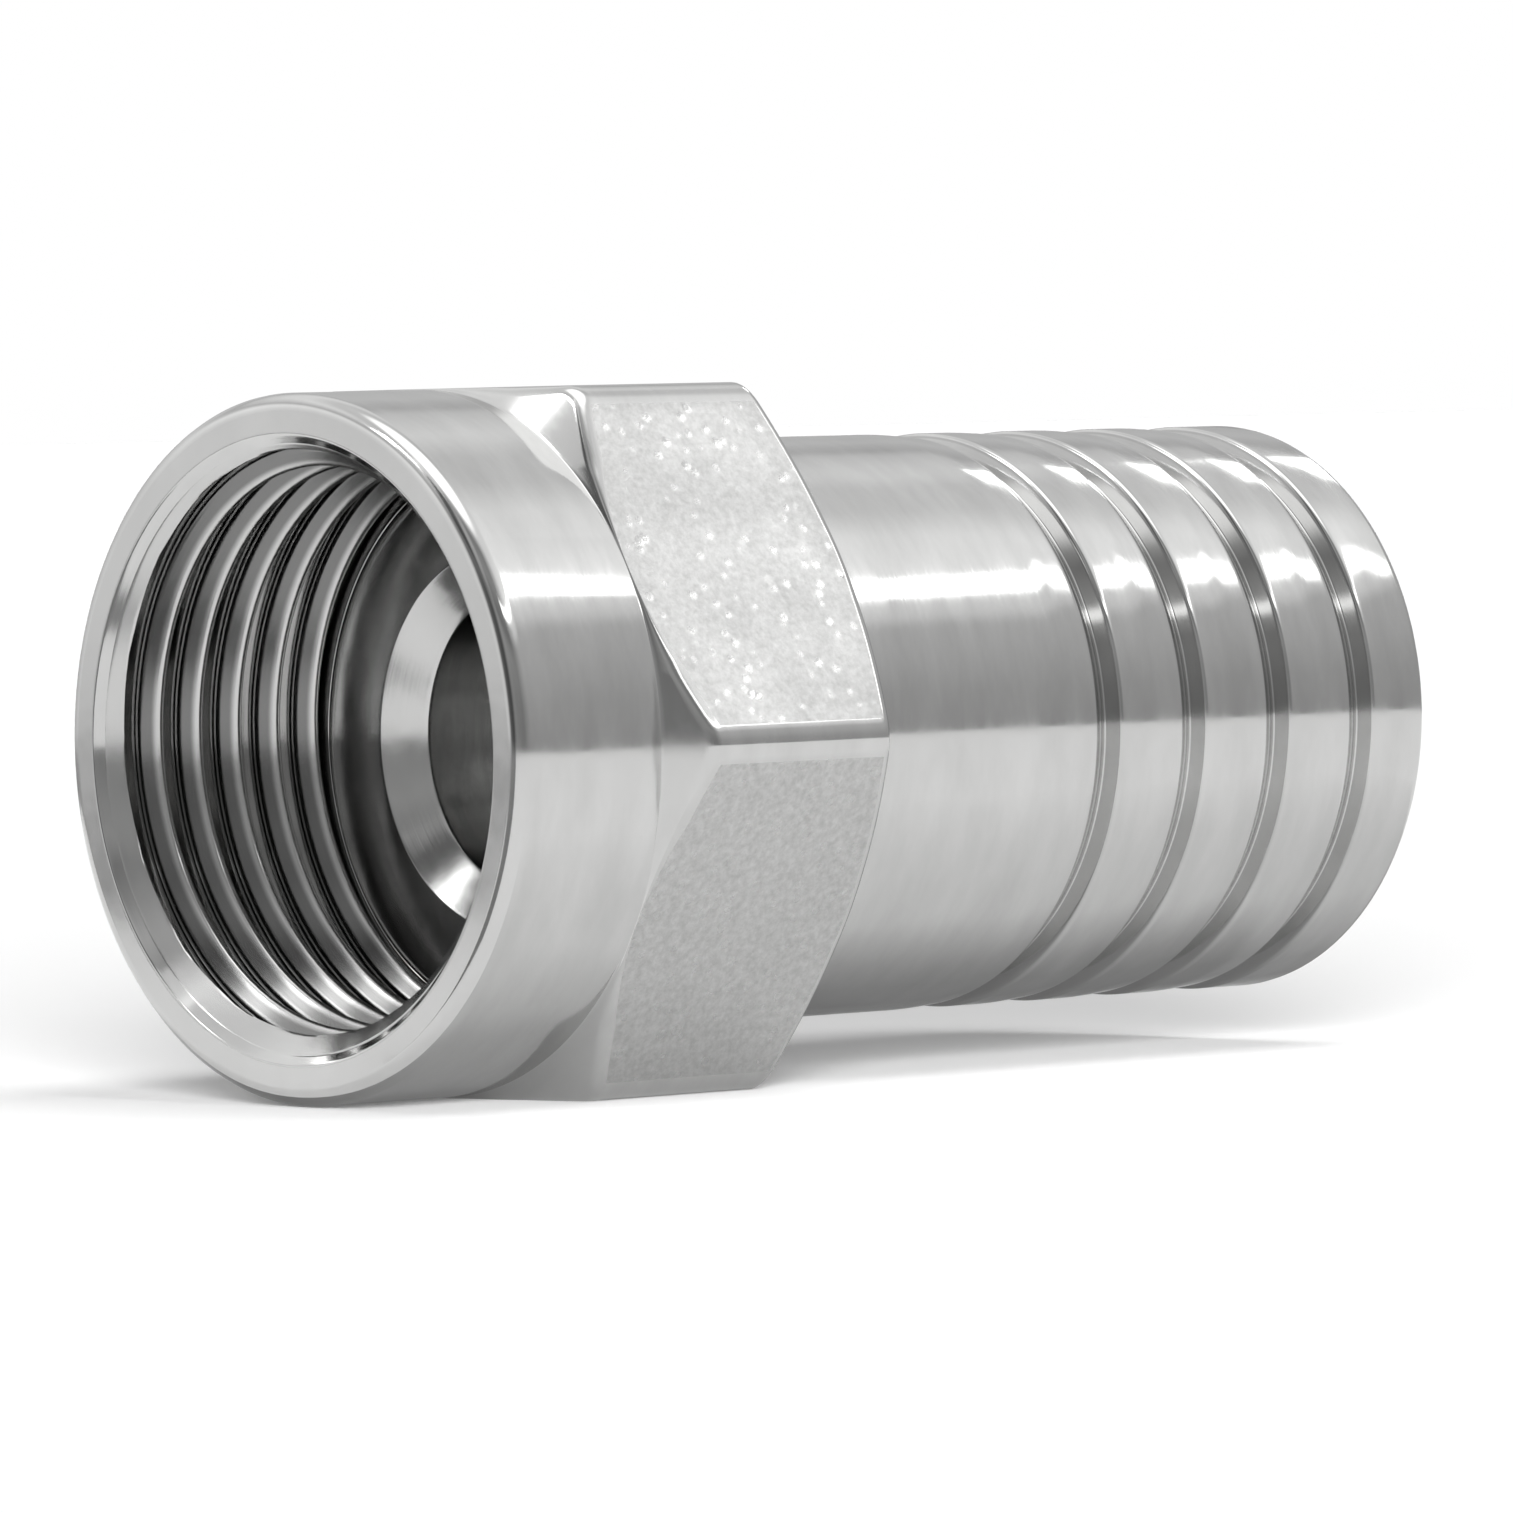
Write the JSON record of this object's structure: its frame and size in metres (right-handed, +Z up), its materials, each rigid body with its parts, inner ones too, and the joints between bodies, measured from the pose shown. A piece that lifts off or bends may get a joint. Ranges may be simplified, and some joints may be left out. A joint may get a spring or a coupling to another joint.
{
  "type": "crimp coaxial connector",
  "caption": "Crimp coaxial plug: a free-turning hexagonal coupling nut with an internal thread, held on a hollow post by its flange, and a ringed crimp sleeve for the cable.",
  "frame": {"origin": "centre of the post's flat mating face, on the connector's axis", "axes": "+X along the axis towards the cable end, -X out of the nut's mouth, +Z up, with one flat of the nut facing -Z"},
  "size_m": [0.0202, 0.0126, 0.0112],
  "materials": {
    "nut_plating": "bright nickel plate on turned brass, flats lightly pickled",
    "post_plating": "bright nickel plate on turned brass",
    "sleeve_plating": "bright nickel plate on turned brass"
  },
  "bodies": {
    "plug": {"post": "post_plating", "crimp_sleeve": "sleeve_plating"},
    "nut": {"coupling_nut": "nut_plating"}
  },
  "joints": [
    {"name": "nut_spin", "type": "hinge", "parent": "plug", "child": "nut", "pos_m": [0, 0, 0], "axis": [1, 0, 0], "continuous": true}
  ]
}
